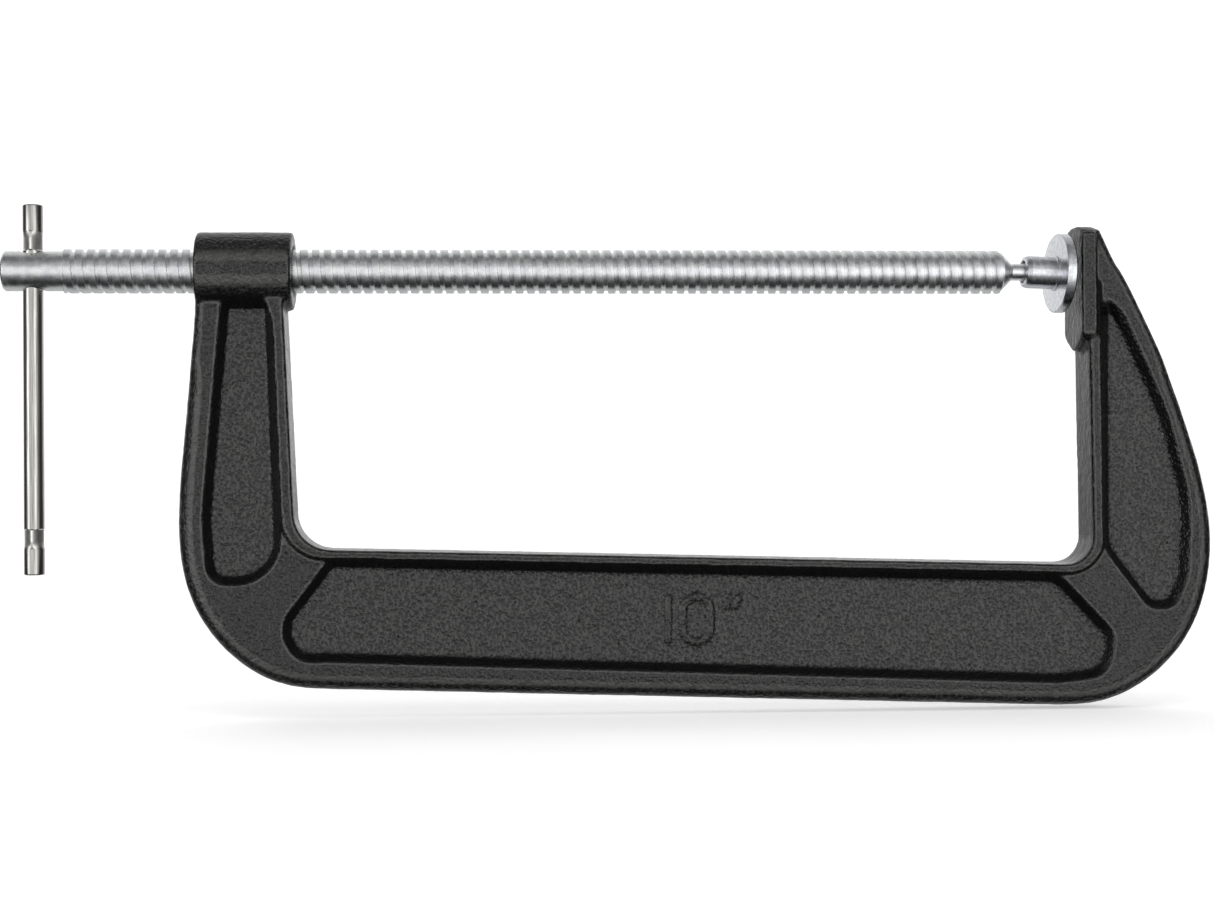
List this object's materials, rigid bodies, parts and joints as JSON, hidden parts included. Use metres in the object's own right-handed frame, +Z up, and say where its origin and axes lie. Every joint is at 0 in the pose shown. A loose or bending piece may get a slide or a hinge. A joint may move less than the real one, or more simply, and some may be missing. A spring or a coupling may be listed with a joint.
{
  "type": "c clamp",
  "caption": "C-clamp with a cast frame, a trapezoidal screw turned by a sliding tommy bar, and a swivel pad that closes on a flat anvil.",
  "frame": {"origin": "centre of the anvil face, on the screw axis", "axes": "+X along the screw axis from the tommy bar to the anvil, +Y away from the numeral side, +Z up, from the spine of the frame to the screw"},
  "size_m": [0.4179, 0.0279, 0.1745],
  "materials": {
    "frame_paint": "semi-gloss black paint over a sand-cast surface",
    "screw_steel": "bright zinc plate",
    "pad_steel": "satin zinc plate",
    "bar_steel": "polished drawn steel"
  },
  "bodies": {
    "frame": {"frame": "frame_paint"},
    "screw_carrier": {"spindle_ball": "screw_steel"},
    "screw": {"spindle": "screw_steel"},
    "bar": {"tommy_bar": "bar_steel"},
    "pad": {"swivel_pad": "pad_steel"}
  },
  "joints": [
    {"name": "screw_feed", "type": "slide", "parent": "frame", "child": "screw_carrier", "axis": [1, 0, 0], "range_m": [-0.2511, 0.0011]},
    {"name": "spindle_spin", "type": "hinge", "parent": "screw_carrier", "child": "screw", "pos_m": [0, 0, 0], "axis": [1, 0, 0], "range_deg": [-22590, 90]},
    {"name": "bar_slide", "type": "slide", "parent": "screw", "child": "bar", "axis": [0, 0, 1], "range_m": [0, 0.081]},
    {"name": "pad_tilt", "type": "hinge", "parent": "screw_carrier", "child": "pad", "pos_m": [-0.0146, 0, 0], "axis": [0, 0, 1], "range_deg": [-11, 5]}
  ],
  "couplings": [
    {"joint": "screw_feed", "follows": "spindle_spin", "m_per_rad": 0.00063662}
  ]
}
